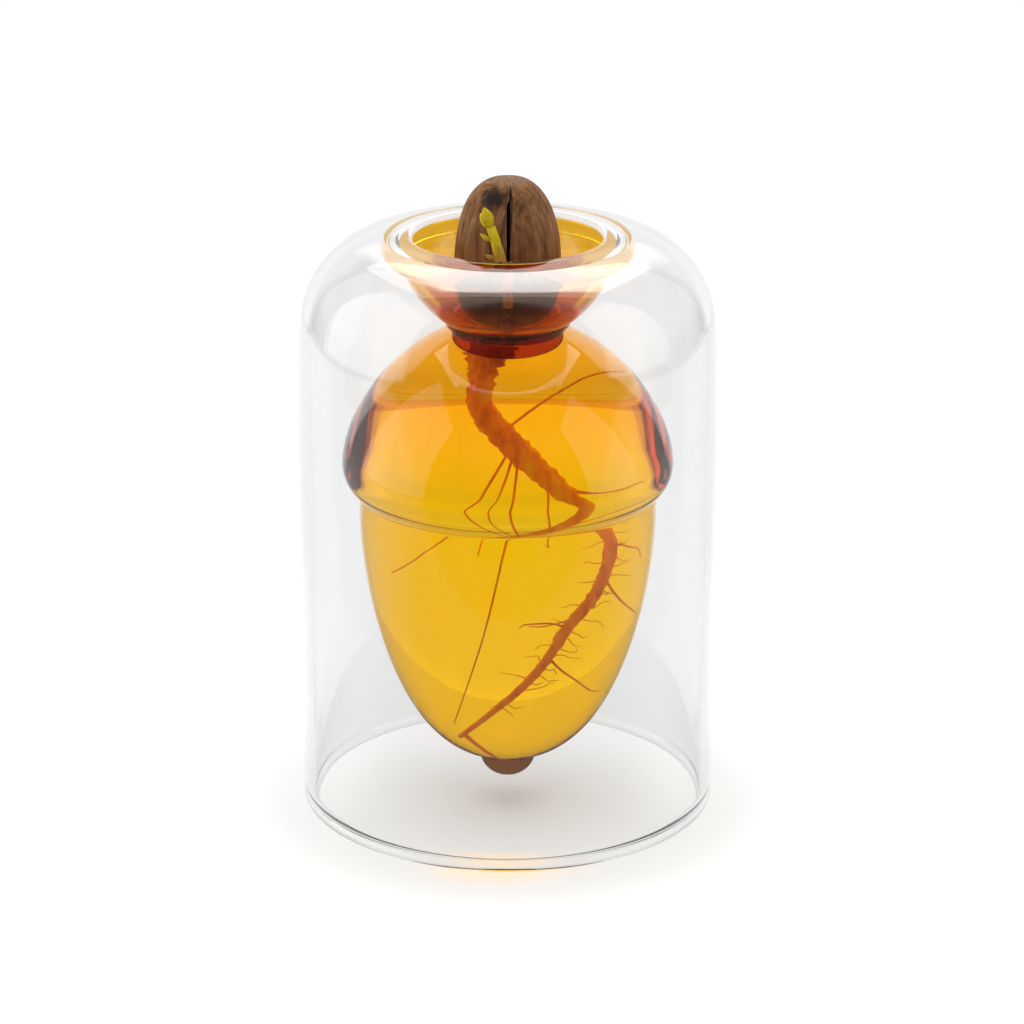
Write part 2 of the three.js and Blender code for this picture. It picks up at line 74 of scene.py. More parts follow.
# Studio: a white sheet behind and under the vase, dark walls elsewhere, a bounce card at each side
# and one large soft box behind and above, whose light falls forward over the vase. What the glass mirrors
# is painted in the background; the count of faces that a ray has crossed tells which glass mirrors it.
class Wire:
    """An output of a shader node. Arithmetic on it adds Math nodes."""

    def __init__(self, tree, socket=None):
        self.tree = tree
        self.socket = socket

    def node(self, kind, settings=None, sockets=None):
        """Adds a node: its settings first, then the values or links of its sockets."""
        made = self.tree.nodes.new("ShaderNode" + kind)
        for name, value in (settings or {}).items():
            if name == "stops":
                while len(made.color_ramp.elements) < len(value):
                    made.color_ramp.elements.new(1)
                for element, (place, colour) in zip(made.color_ramp.elements, value):
                    element.position = place
                    element.color = (*colour, 1)
            else:
                setattr(made, name, value)
        for name, value in (sockets or {}).items():
            if isinstance(value, Wire):
                self.tree.links.new(value.socket, made.inputs[name])
            else:
                made.inputs[name].default_value = value
        return Wire(self.tree, made.outputs[0] if made.outputs else None)

    def __getitem__(self, name):
        return Wire(self.tree, self.socket.node.outputs[name])

    def math(self, operation, first, second=0.0):
        return self.node("Math", {"operation": operation}, {0: first, 1: second})

    def __add__(self, other):
        return self.math("ADD", self, other)

    def __sub__(self, other):
        return self.math("SUBTRACT", self, other)

    def __rsub__(self, other):
        return self.math("SUBTRACT", other, self)

    def __mul__(self, other):
        return self.math("MULTIPLY", self, other)

    def __truediv__(self, other):
        return self.math("DIVIDE", self, other)

    def __gt__(self, other):
        return self.math("GREATER_THAN", self, other)

    def __lt__(self, other):
        return self.math("LESS_THAN", self, other)

    __radd__ = __add__
    __rmul__ = __mul__

    def ease(self, low, high):
        """0 below low, 1 above high, smooth between them."""
        ends = {"Value": self, "From Min": low, "From Max": high}
        return self.node("MapRange", {"interpolation_type": "SMOOTHSTEP"}, ends)

    def blend(self, first, second):
        """A colour between two others, by this share."""
        mix = self.node("Mix", {"data_type": "RGBA"}, {0: self, 6: first, 7: second})
        return Wire(self.tree, mix.socket.node.outputs[2])


# A ray that has crossed more faces than these is in a wall of the tube, straight through both walls,
# at the amber behind them, or inside the amber.
IN_WALL = 1.5
THROUGH_TUBE = 3.5
AT_AMBER = 4.5
IN_AMBER = 5.5
FILL = 0.42
SHEET_SIDES = (0.74, 0.8)
SHEET_TOP = (0.42, 0.5)
DARK_WALL = 0.03
AMBER_GLEAM = 0.03
CEILING_GLEAM = 0.05
CEILING = (0.4, 0.6)
ROOM_GLEAM = 0.27
ROOM_SKY_GLEAM = 0.4
ROOM_TURN = (-0.8, -0.1)
ROOM_HORIZON = (-0.05, 0.1)
CARD_GLEAM = 0.9
CARD_CROWN_GLEAM = 4.2
CARD_LEFT = (-0.36, -0.24)
CARD_RIGHT = (0.35, 0.5)
CARD_DEPTH = (0.24, 0.31)
CARD_FOOT = (0.25, 0.35)
CARD_CROWN = (0.4, 0.95)
TUBE_PAINTED_SHADE = 0.19
WALL_PAINTED_SHADE = 0.05
studio = bpy.data.worlds.new("studio")
bpy.context.scene.world = studio
studio.use_nodes = True
studio.node_tree.nodes.clear()
air = Wire(studio.node_tree)
way = air.node("SeparateXYZ", None, {"Vector": air.node("TexCoord")["Generated"]})
across = air.math("SQRT", way["X"] * way["X"] + way["Y"] * way["Y"])
ahead = way["Y"] / (across + 0.0001)
height = way["Z"]
ray = air.node("LightPath")
seen = ray["Is Camera Ray"]
scattered = ray["Is Diffuse Ray"]
reflected = air.math("MINIMUM", ray["Glossy Depth"], 1.0)
crossed = ray["Transmission Depth"]
in_tube = crossed < THROUGH_TUBE
tube_wall = in_tube * (crossed > IN_WALL)
pane = (crossed > THROUGH_TUBE) * (crossed < AT_AMBER)
sheet = ahead.ease(*SHEET_SIDES) * (1 - height.ease(*SHEET_TOP))
room = ahead.ease(*ROOM_TURN) * (ROOM_GLEAM + ROOM_SKY_GLEAM * height.ease(*ROOM_HORIZON))
card = way["X"].ease(*CARD_LEFT) * (1 - way["X"].ease(*CARD_RIGHT))
card = card * way["Y"].ease(*CARD_DEPTH) * height.ease(*CARD_FOOT)
card = card * (CARD_GLEAM + CARD_CROWN_GLEAM * height.ease(*CARD_CROWN))
walls = DARK_WALL + AMBER_GLEAM * (crossed > IN_AMBER) + CEILING_GLEAM * height.ease(*CEILING)
mirrored = air.math("MAXIMUM", sheet, walls + in_tube * (room + card))
# Painted shade: the background is darker where it is seen straight through both walls of the tube, and a
# little darker where it is mirrored inside a wall of the tube.
straight = (1 - reflected) * (1 - TUBE_PAINTED_SHADE * pane) + reflected * mirrored * (1 - WALL_PAINTED_SHADE * tube_wall)
level = seen + (1 - seen) * (scattered * FILL + (1 - scattered) * straight)
white = air.node("Background", None, {"Color": (1, 1, 1, 1), "Strength": level})
air.node("OutputWorld", None, {"Surface": white})


def soft_box(name, place, turn, size, radiance, glossy=True):
    """A rectangular diffuser that looks the same brightness from everywhere in front of it."""
    lamp = bpy.data.lights.new(name, "AREA")
    lamp.shape = "RECTANGLE"
    lamp.size, lamp.size_y = size
    lamp.energy = radiance * math.pi * size[0] * size[1]
    box = bpy.data.objects.new(name, lamp)
    box.location = place
    box.rotation_euler = turn
    box.visible_camera = False
    box.visible_glossy = glossy
    bpy.context.scene.collection.objects.link(box)


soft_box("card_left", (-0.62, -0.07, 0.46), (0, -math.pi / 2, 0), (0.92, 0.7), 1.1)
soft_box("card_right", (0.62, -0.2, 0.5), (0, math.pi / 2, 0), (0.94, 0.5), 1.0)
soft_box("soft_box", (0, 0.5, 0.95), (-math.radians(28), 0, 0), (1.2, 0.9), 2.0, False)


# Table: a matt white sheet that the vase stands on and that ends in front of it. It takes the soft shadow.
# Painted on it are the shade round the vase and the warm light that the amber gathers at the front rim.
MM = 0.001
TABLE_HALF = 500.0
TABLE_FRONT = -190.0
TABLE_BACK = 450.0
TABLE_LEVEL = -0.2
PAPER = 0.62
PAPER_IN_GLASS = 0.2
UNDER_RIM = 0.0455
FRONT_TURN = (-0.8, -0.2)
BACK_TURN = (0.7, 0.9)
POOL = (0.19, 0.19, 0.185, 1)
TABLE_TONES = (
    ((0.005, 0.045), 0.36),
    ((0.045, 0.08), 0.62),
    ((0.12, 0.2), 0.4),
    ((0.25, 0.4), 0.5),
)
FOCUS = (0.62, 0.38, 0.16, 1)
FOCUS_STRETCH = (48.0, 90.0, 0.0)
FOCUS_SHIFT = (0.1, 3.78, 0.0)
FOCUS_REACH = (0.1, 1.0)
PANE_TONE = 0.26
WALL_TONE = 0.18


def material(name):
    """A new material with nothing in it, and a wire to add nodes with."""
    made = bpy.data.materials.new(name)
    made.use_nodes = True
    made.node_tree.nodes.clear()
    return made, Wire(made.node_tree)


def show(wire, shader):
    """Ends a material in the shader that its surface shows."""
    wire.node("OutputMaterial", None, {"Surface": shader})


def grey(tone):
    """A neutral colour."""
    return (tone, tone, tone, 1)


def piece(name, corners, faces, finishes, slots=None, crease=35):
    """A mesh object from corners in millimetres, smooth but for edges sharper than the crease angle."""
    mesh = bpy.data.meshes.new(name)
    mesh.from_pydata([tuple(value * MM for value in corner) for corner in corners], [], faces)
    for finish in finishes:
        mesh.materials.append(finish)
    if slots:
        mesh.polygons.foreach_set("material_index", slots)
    shape = bmesh.new()
    shape.from_mesh(mesh)
    bmesh.ops.recalc_face_normals(shape, faces=shape.faces)
    shape.to_mesh(mesh)
    shape.free()
    mesh.shade_smooth()
    mesh.set_sharp_from_angle(angle=math.radians(crease))
    made = bpy.data.objects.new(name, mesh)
    bpy.context.scene.collection.objects.link(made)
    return made


table_finish, wire = material("table")
place = wire.node("TexCoord")["Object"]
away = wire.node("VectorMath", {"operation": "LENGTH"}, {0: place})["Value"]
bearing = wire.node("SeparateXYZ", None, {"Vector": place})["Y"] / away
ray = wire.node("LightPath")
crossed = ray["Transmission Depth"]
reflected = wire.math("MINIMUM", ray["Glossy Depth"], 1.0)
# Painted reflection and shade: where the glass mirrors the table in front of the vase and under its rim,
# and where the amber mirrors any of it but the back, the table is painted dark. Seen through both panes of
# the tube it shows a flat painted grey, and mirrored inside a wall of the tube a darker painted grey.
in_front = wire.math("MAXIMUM", 1 - bearing.ease(*FRONT_TURN), away < UNDER_RIM)
not_behind = (crossed > THROUGH_TUBE) * (1 - bearing.ease(*BACK_TURN))
mirrored = reflected * ((crossed < AT_AMBER) * wire.math("MAXIMUM", not_behind, in_front))
pane = (crossed > THROUGH_TUBE) * (crossed < AT_AMBER)
tube_wall = (crossed > IN_WALL) * (crossed < THROUGH_TUBE) * reflected
glow = POOL
for reach, tone in TABLE_TONES:
    glow = away.ease(*reach).blend(glow, grey(tone))
focus = wire.node("VectorMath", {"operation": "MULTIPLY_ADD"}, {0: place, 1: FOCUS_STRETCH, 2: FOCUS_SHIFT})
focus = wire.node("VectorMath", {"operation": "LENGTH"}, {0: focus})["Value"]
glow = (1 - focus.ease(*FOCUS_REACH)).blend(glow, FOCUS)
glow = pane.blend(glow, grey(PANE_TONE))
glow = tube_wall.blend(glow, grey(WALL_TONE))
shown = (1 - ray["Is Diffuse Ray"]) * (1 - mirrored)
paper = wire.node("BsdfDiffuse", None, {"Color": mirrored.blend(grey(PAPER), grey(PAPER_IN_GLASS))})
lift = wire.node("Emission", None, {"Color": shown.blend(grey(0), glow)})
show(wire, wire.node("AddShader", None, {0: paper, 1: lift}))
table = piece(
    "table",
    [
        (-TABLE_HALF, TABLE_FRONT, TABLE_LEVEL),
        (TABLE_HALF, TABLE_FRONT, TABLE_LEVEL),
        (TABLE_HALF, TABLE_BACK, TABLE_LEVEL),
        (-TABLE_HALF, TABLE_BACK, TABLE_LEVEL),
    ],
    [(0, 1, 2, 3)],
    [table_finish],
)


# Cloche: clear borosilicate tube, blown to a domed shoulder and turned in to a round lip.
# Its rim is fire-polished and stands on the table; a collar inside the lip carries the amber acorn.
TUBE_RADIUS = 45.0
TUBE_WALL = 2.2
TUBE_RINGS = (1.7, 2.5, 5, 20, 50, 80, 98, 101.5)
BORE_RINGS = (101.5, 98, 80, 50, 20, 8, 5.2, 4.6)
RIM_BEAD = 1.5
RIM_SWELL = ((0.01, 4.3), (0.06, 3.8), (0.17, 3.2), (0.31, 2.7))
SHOULDER_FOOT = 102.38
SHOULDER_HEIGHT = 25.6
SHOULDER_ROUNDNESS = 2.43
SHOULDER_WALL = 1.5
MOUTH_RADIUS = 20.2
LIP_RADIUS = 1.15
LIP_LEVEL = 126.83
ROLL_CENTRE = 24.2
ROLL_LEVEL = 124.3
ROLL_RADIUS = 2.75
ROLL_FOOT = 121.92
ROLL_TURN = 45
CUP_TOP = 126.2
CUP_BORE_TOP = 21.28
BEVEL_EDGE = 0.1
SPHERE_LEVEL = 128.53
SPHERE_RADIUS = 23.81
SEAM = 0.02
GLASS_IOR = 1.47
WATER_IOR = 1.333
WET_IOR = GLASS_IOR / WATER_IOR
FACETS = 256
CLEAR = (0.98, 0.985, 0.983)
CLEAR_SHADE = (0.965, 0.965, 0.965)
MIRRORED_ONCE = 1.5


def glass(name, colour, ior, shade, unevenness, deep=None, spread=None, painted_wall_glow=0.0):
    """Blown glass. Lamps and scattered light pass it straight through with a tint, the eye's rays bend.

    The colour runs over to the deep one between two heights. Rays mirrored more than once in a clear wall
    show a painted grey glow."""
    made, wire = material(name)
    place = wire.node("TexCoord")["Object"]
    wobble = wire.node("TexNoise", None, {"Vector": place, "Scale": 35.0, "Detail": 2.0})
    ripple = wire.node("Bump", None, {"Strength": unevenness, "Distance": 0.002, "Height": wobble["Fac"]})
    streak = tuple(value**1.08 for value in colour)
    tint = wobble["Fac"].ease(0.35, 0.65).blend((*colour, 1), (*streak, 1))
    if deep:
        rise = wire.node("SeparateXYZ", None, {"Vector": place})["Z"].ease(spread[0] * MM, spread[1] * MM)
        tint = rise.blend(tint, (*deep, 1))
    body = wire.node(
        "BsdfPrincipled",
        None,
        {
            "Base Color": tint,
            "Roughness": 0.0,
            "IOR": ior,
            "Transmission Weight": 1.0,
            "Normal": ripple,
        },
    )
    ray = wire.node("LightPath")
    # Painted glow: a ray mirrored more than once inside the glass, before it reaches the amber, shows a
    # flat grey in place of the light that a clear wall carries along.
    if painted_wall_glow:
        painted_glow_rays = (ray["Glossy Depth"] > MIRRORED_ONCE) * (ray["Transmission Depth"] < AT_AMBER)
        edge = wire.node("Emission", None, {"Color": grey(painted_wall_glow)})
        body = wire.node("MixShader", None, {0: painted_glow_rays, 1: body, 2: edge})
    straight = wire.math("MAXIMUM", ray["Is Shadow Ray"], ray["Is Diffuse Ray"])
    clear = wire.node("BsdfTransparent", None, {"Color": (*shade, 1)})
    show(wire, wire.node("MixShader", None, {0: straight, 1: body, 2: clear}))
    return made


def fused(name, colour):
    """A face where two glasses are melted together: it only tints."""
    made, wire = material(name)
    tint = tuple(math.sqrt(value) for value in colour)
    show(wire, wire.node("BsdfTransparent", None, {"Color": (*tint, 1)}))
    return made


def oval(r, z, reach, rise, side=2.0, crown=None, end=1.0, steps=24):
    """Points of a quarter oval about (r, z), from its side to its crown; roundness 2 is an ellipse."""
    points = []
    for i in range(steps + 1):
        angle = math.pi / 2 * (end * i / steps)
        out = reach * max(math.cos(angle), 0) ** (2 / side)
        points.append((r + out, z + rise * math.sin(angle) ** (2 / (crown or side))))
    return points


def arc(r, z, radius, first, last, steps):
    """Points of a circle about (r, z), between two angles in degrees."""
    turns = [math.radians(first + (last - first) * i / steps) for i in range(steps + 1)]
    return [(r + radius * math.cos(turn), z + radius * math.sin(turn)) for turn in turns]


def share_at(radius, reach, side):
    """Where on a quarter oval it has narrowed to this radius."""
    return math.acos((radius / reach) ** (side / 2)) / (math.pi / 2)


def below(radius, sphere):
    """Angle in degrees at which a sphere about the axis has this radius, on its lower half."""
    return -math.degrees(math.acos(radius / sphere))


def revolve(name, runs, finishes, facets=FACETS):
    """A turned piece. Each run is its profile's points and the finish of the face that starts at each."""
    profile = [(point, slot) for points, slot in runs for point in points]
    corners, rings = [], []
    for (r, z), _ in profile:
        if r < 1e-6:
            rings.append([len(corners)] * facets)
            corners.append((0, 0, z))
        else:
            rings.append(list(range(len(corners), len(corners) + facets)))
            for j in range(facets):
                turn = 2 * math.pi * j / facets
                corners.append((r * math.cos(turn), r * math.sin(turn), z))
    faces, slots = [], []
    open_ended = profile[0][0][0] < 1e-6
    for i in range(len(profile) - (1 if open_ended else 0)):
        near, far = rings[i], rings[(i + 1) % len(rings)]
        for j in range(facets):
            k = (j + 1) % facets
            loop = list(dict.fromkeys((near[j], near[k], far[k], far[j])))
            if len(loop) > 2:
                faces.append(loop)
                slots.append(profile[i][1])
    return piece(name, corners, faces, finishes, slots)


clear_glass = glass("clear_glass", CLEAR, GLASS_IOR, CLEAR_SHADE, 0.01, painted_wall_glow=0.8)
clear_fused = fused("clear_glass_fused", CLEAR)
bore = TUBE_RADIUS - TUBE_WALL
bead_centre = TUBE_RADIUS - RIM_BEAD
lip_centre = MOUTH_RADIUS + LIP_RADIUS
shoulder_reach = TUBE_RADIUS - lip_centre
inner_reach = shoulder_reach - TUBE_WALL
inner_rise = SHOULDER_HEIGHT - SHOULDER_WALL
roll_end = ROLL_CENTRE + ROLL_RADIUS * math.cos(math.radians(ROLL_TURN))
roll_share = share_at(roll_end - lip_centre, inner_reach, SHOULDER_ROUNDNESS)
shoulder_outside = oval(
    lip_centre, SHOULDER_FOOT, shoulder_reach, SHOULDER_HEIGHT, SHOULDER_ROUNDNESS, end=0.995, steps=52
)
shoulder_inside = oval(
    lip_centre, SHOULDER_FOOT, inner_reach, inner_rise, SHOULDER_ROUNDNESS, end=roll_share, steps=44
)
collar_turn = math.degrees(math.asin((ROLL_FOOT - SPHERE_LEVEL) / SPHERE_RADIUS))
cup_edge = SPHERE_RADIUS * math.cos(math.radians(collar_turn))
bevel_start = CUP_BORE_TOP + BEVEL_EDGE
cup_bevel = [
    (bevel_start + (cup_edge - bevel_start) * share, CUP_TOP + (ROLL_FOOT - CUP_TOP) * share)
    for share in (0, 0.25, 0.5, 0.75, 1)
]
cloche = revolve(
    "cloche_glass",
    [
        ([(bead_centre - 0.5, 0)], 0),
        (arc(bead_centre, RIM_BEAD, RIM_BEAD, -70, 0, 10), 0),
        ([(TUBE_RADIUS, z) for z in TUBE_RINGS], 0),
        (shoulder_outside, 0),
        (arc(lip_centre, LIP_LEVEL, LIP_RADIUS, 92, 190, 18), 0),
        ([(CUP_BORE_TOP, CUP_TOP)], 1),
        ([(r + SEAM, z) for r, z in cup_bevel[:-1]], 1),
        (arc(ROLL_CENTRE, ROLL_LEVEL, ROLL_RADIUS, -120, ROLL_TURN, 28), 0),
        (shoulder_inside[::-1], 0),
        ([(bore, z) for z in BORE_RINGS], 0),
        ([(bore - swell, z) for swell, z in RIM_SWELL], 0),
        (arc(bead_centre, RIM_BEAD, RIM_BEAD, 145, 250, 12), 0),
    ],
    [clear_glass, clear_fused],
)
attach(cloche, "vase")
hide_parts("cloche")


# Seed cup: an amber bowl fused inside the collar. It narrows to a foot and a waist and goes on as a
# short neck that dips into the acorn's cap, so the sprouting seed can sit on the neck's mouth.
NECK_BORE = 9.2
NECK_RADIUS = 10.9
NECK_END = 101.68
NECK_SHOULDER = 106.88
WAIST_RADIUS = 12.2
CUP_FLOOR = 108.78
CUP_FOOT_RADIUS = 13.3
CUP_FOOT_BEAD = (CUP_FOOT_RADIUS - 0.2, CUP_FLOOR - 0.3, 0.45)
CUP_WALL = 2.4
WATER_LEVEL = 110.6
CAP_RADIUS = 35.8
CAP_CROWN = 31.4
CAP_ROUNDNESS = 1.75
CAP_EQUATOR = 78.0
VESSEL_WALL = 1.6
RED_AMBER = (0.46, 0.09, 0.02)
CUP_AMBER = (0.88, 0.47, 0.03)
CUP_FADE = (112, 120)
CUP_SHADE = (0.92, 0.86, 0.8)
CUP_WET_SHADE = (0.95, 0.92, 0.88)
AMBER_RIPPLE = 0.02
cup_glass = glass("cup_glass", RED_AMBER, GLASS_IOR, CUP_SHADE, AMBER_RIPPLE, CUP_AMBER, CUP_FADE)
cup_wet = glass("cup_glass_wet", RED_AMBER, WET_IOR, CUP_WET_SHADE, AMBER_RIPPLE, CUP_AMBER, CUP_FADE)
cup_fused = fused("cup_glass_fused", CUP_AMBER)
cup_inside = SPHERE_RADIUS - CUP_WALL
cup_top = CUP_TOP - SEAM
foot_turn = below(CUP_FOOT_RADIUS + 0.4, SPHERE_RADIUS)
bore_turn = math.degrees(math.asin((cup_top - SPHERE_LEVEL) / cup_inside))
water_turn = math.degrees(math.asin((WATER_LEVEL - SPHERE_LEVEL) / cup_inside))


def cap_crown(inset, mouth):
    """The cap's dome from its widest line up to its mouth."""
    reach = CAP_RADIUS - inset
    end = share_at(mouth, reach, CAP_ROUNDNESS)
    return oval(0, CAP_EQUATOR, reach, CAP_CROWN - inset, CAP_ROUNDNESS, end=end, steps=40)


cap_mouth = NECK_RADIUS + SEAM
neck_wet_top = cap_crown(VESSEL_WALL, cap_mouth)[-1][1]
neck_round = (NECK_RADIUS - NECK_BORE) / 2
seed_cup = revolve(
    "seed_cup_glass",
    [
        (arc(NECK_BORE + neck_round, NECK_END + neck_round, neck_round, 180, 360, 12), 1),
        ([(NECK_RADIUS, neck_wet_top), (NECK_RADIUS, NECK_SHOULDER)], 2),
        ([(WAIST_RADIUS, NECK_SHOULDER), (WAIST_RADIUS, CUP_FLOOR - 0.6)], 0),
        (arc(*CUP_FOOT_BEAD, 225, 330, 5), 0),
        (arc(0, SPHERE_LEVEL, SPHERE_RADIUS, foot_turn, collar_turn, 24), 0),
        ([(r, z - SEAM) for r, z in cup_bevel[::-1]], 2),
        (arc(0, SPHERE_LEVEL, cup_inside, bore_turn, water_turn, 28), 0),
        (arc(0, SPHERE_LEVEL, cup_inside, water_turn, below(NECK_BORE, cup_inside), 6), 1),
    ],
    [cup_glass, cup_wet, cup_fused],
)
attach(seed_cup, "vase")
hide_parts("seed_cup")


# Acorn cap: an amber dome blown with a mouth for the neck, its lower edge curled under.
# It is fused to the neck above and to the nut below.
CAP_CURL = 6.7
CAP_BOTTOM = 71.3
CAP_TOP = NECK_SHOULDER - SEAM
NUT_RADIUS = 32.2
CREASE = (33.4, 70.73, 1.2)
CREASE_EDGE = (32.345, 71.3)
SWEEP_HEIGHT = 9.0
SWEEP_STEPS = 24
AMBER = (0.9, 0.69, 0.02)
ORANGE_AMBER = (0.89, 0.49, 0.011)
CAP_FADE = (72, 104)
AMBER_SHADE = (0.95, 0.91, 0.85)
AMBER_WET_SHADE = (0.97, 0.95, 0.92)
cap_glass = glass("cap_glass", AMBER, GLASS_IOR, AMBER_SHADE, AMBER_RIPPLE, ORANGE_AMBER, CAP_FADE)
cap_wet = glass("cap_glass_wet", AMBER, WET_IOR, AMBER_WET_SHADE, AMBER_RIPPLE, ORANGE_AMBER, CAP_FADE)
amber_fused = fused("amber_glass_fused", AMBER)


def cap_curl():
    """The cap's lower edge, a round roll from its widest line down to the nut."""
    overhang = CAP_RADIUS - NUT_RADIUS
    radius = (overhang**2 + CAP_CURL**2) / (2 * overhang)
    roll = arc(CAP_RADIUS - radius, CAP_EQUATOR, radius, 0, -52, 22)
    return [*roll, *arc(*CREASE, 128, 151.6, 4)[1:-1], CREASE_EDGE]


def cap_inside():
    """The cap's inside: the dome, then a smooth sweep in to the nut's wall behind the curl."""
    crown = cap_crown(VESSEL_WALL, cap_mouth)[::-1]
    sweep_top = CAP_BOTTOM + SWEEP_HEIGHT
    sweep = []
    for i in range(SWEEP_STEPS + 1):
        z = sweep_top + (CAP_BOTTOM - sweep_top) * i / SWEEP_STEPS
        rise = max(z - CAP_EQUATOR, 0) / (CAP_CROWN - VESSEL_WALL)
        dome = (CAP_RADIUS - VESSEL_WALL) * (1 - rise**CAP_ROUNDNESS) ** (1 / CAP_ROUNDNESS)
        inward = 0.5 + 0.5 * math.cos(math.pi * (z - CAP_BOTTOM) / SWEEP_HEIGHT)
        sweep.append((dome - (CAP_RADIUS - NUT_RADIUS) * inward, z))
    return [*[point for point in crown if point[1] > sweep_top + 0.3], *sweep]


cap = revolve(
    "acorn_cap_glass",
    [
        (cap_curl()[::-1], 0),
        (cap_crown(0, WAIST_RADIUS)[1:], 0),
        ([(WAIST_RADIUS, CAP_TOP), (cap_mouth, CAP_TOP)], 2),
        (cap_inside()[:-1], 1),
        (cap_inside()[-1:], 2),
    ],
    [cap_glass, cap_wet, amber_fused],
)
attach(cap, "vase")
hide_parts("acorn_cap")


# Acorn nut: the amber vessel below the cap, blown to an egg shape, closed at the tip and full of water.
# Its upper edge is fused inside the cap's curl, and a bead is fused to its tip.
NUT_BOTTOM = 9.7
NUT_TAPER = 56.5
NUT_TAPER_TOP = 66.2
NUT_SIDE = 2.5
NUT_END = 1.68
BEAD_RADIUS = 6.0
BEAD_PATCH = BEAD_RADIUS * 0.95
NUT_AMBER = (1.0, 0.745, 0.015)
nut_top = CAP_BOTTOM - SEAM
amber_glass = glass("amber_glass", NUT_AMBER, GLASS_IOR, AMBER_SHADE, AMBER_RIPPLE)
amber_wet = glass("amber_glass_wet", NUT_AMBER, WET_IOR, AMBER_WET_SHADE, AMBER_RIPPLE)


def nut_wall(inset):
    """The nut's wall from its upper edge down to the axis."""
    taper = oval(0, NUT_TAPER_TOP, NUT_RADIUS - inset, inset - NUT_TAPER, NUT_SIDE, NUT_END, steps=72)
    return [(NUT_RADIUS - inset, nut_top), *taper[:-1], (0, NUT_BOTTOM + inset)]


nut_outside = [(CREASE_EDGE[0], nut_top), *arc(*CREASE, 157, 180, 4), *nut_wall(0)[1:]]
bead_patch = [point for point in nut_outside if point[0] < BEAD_PATCH]
nut_side = [point for point in nut_outside if point[0] >= BEAD_PATCH]
nut = revolve(
    "acorn_nut_glass",
    [
        (bead_patch[::-1], 2),
        (nut_side[:0:-1], 0),
        (nut_side[:1], 2),
        (nut_wall(VESSEL_WALL), 1),
    ],
    [amber_glass, amber_wet, amber_fused],
)
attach(nut, "vase")
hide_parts("acorn_nut")


# Tip bead: a solid half drop of darker amber under the nut, just clear of the table.
# It is gathered on a rod and melted on to the nut's tip.
BEAD_HEIGHT = 5.1
BEAD_BOTTOM = 4.3
BEAD_FACETS = 64
DARK_AMBER = (0.2, 0.08, 0.03)
DARK_SHADE = (0.75, 0.6, 0.5)
dark_amber = glass("dark_amber_glass", DARK_AMBER, GLASS_IOR, DARK_SHADE, 0.03)
dark_fused = fused("dark_amber_fused", DARK_AMBER)
bead_side = oval(0, BEAD_BOTTOM + BEAD_HEIGHT, BEAD_RADIUS, -BEAD_HEIGHT)
bead = revolve(
    "tip_bead_glass",
    [
        ([(0, BEAD_BOTTOM)], 0),
        (bead_side[-2::-1], 0),
        ([(r, z - SEAM) for r, z in bead_patch], 1),
    ],
    [dark_amber, dark_fused],
    BEAD_FACETS,
)
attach(bead, "vase")
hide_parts("tip_bead")


# Water: fills the nut, the cap and the neck, and just wets the seed's tip. It climbs a little on the glass.
# Its sides lie on the wetted glass and show nothing themselves; the open face above bends light.
WATER_INSET = 0.03
MENISCUS = 0.6
MENISCUS_REACH = 0.8
WATER_RINGS = 40
WATER_FACETS = 96
PURE = (1.0, 1.0, 1.0)
WATER_SHADE = (0.99, 0.99, 0.99)
still_water, wire = material("water_side")
show(wire, wire.node("BsdfTransparent", None, {"Color": (*PURE, 1)}))
water_face = glass("water_face", PURE, WATER_IOR, WATER_SHADE, 0.0)


def inward(points):
    """Points moved off the glass."""
    return [(max(r - WATER_INSET, 0), z) for r, z in points]


water_side = [
    (0, NUT_BOTTOM + VESSEL_WALL + WATER_INSET),
    *inward(nut_wall(VESSEL_WALL)[-2::-1]),
    *inward([point for point in cap_inside()[::-1] if point[0] > cap_mouth + 2]),
    (NECK_RADIUS + 0.3, NECK_END + neck_round),
    (NECK_BORE - WATER_INSET, NECK_END + neck_round),
    *inward(arc(0, SPHERE_LEVEL, cup_inside, below(NECK_BORE, cup_inside), water_turn, 6)),
]
water_rim = water_side[-1][0]
water_top = []
for i in range(1, WATER_RINGS):
    r = water_rim * (1 - i / WATER_RINGS)
    water_top.append((r, WATER_LEVEL - MENISCUS * (1 - math.exp((r - water_rim) / MENISCUS_REACH))))
water = revolve(
    "water",
    [(water_side[:-1], 0), (water_side[-1:], 1), (water_top, 1), ([(0, water_top[-1][1])], 1)],
    [still_water, water_face],
    WATER_FACETS,
)
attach(water, "vase")


# Seed shell: the brown leathery coat of the acorn, standing on its pointed end in the neck's mouth.
# It has split down the front from the scar to the tip where the shoot comes out; the root leaves below.
ACORN_RADIUS = 11.4
ACORN_WAIST = 119.06
ACORN_UPPER = 21.4
ACORN_LOWER = 13.5
ACORN_ROUNDNESS = 2.5
SCAR_RADIUS = 4.2
SCAR_RISE = 0.25
SCAR_RINGS = (0.01, 0.2, 0.45, 0.7, 0.9)
TIP_RADIUS = 3.2
SHELL_WALL = 1.0
COLUMNS = 144
SPLIT = (
    (105, -0.45, 0.85),
    (126.8, -0.45, 0.85),
    (130, -0.2, 1.0),
    (133.9, 0.05, 0.9),
    (137.5, 0.6, 0.4),
    (139.4, 0.6, 0.06),
)
SPLIT_END = 0.03
SCAR_FIBRES = [(0.34, (0.05, 0.024, 0.012)), (0.55, (0.24, 0.125, 0.06)), (0.7, (0.38, 0.22, 0.12))]
STAIN_PLACE = (-0.0029, -0.0062, 0.1373)
STAIN = (0.012, 0.012, 0.014, 1)
RED_BROWN = (0.2, 0.045, 0.012, 1)
SHELL_SHADE = (0.03, 0.024, 0.022, 1)


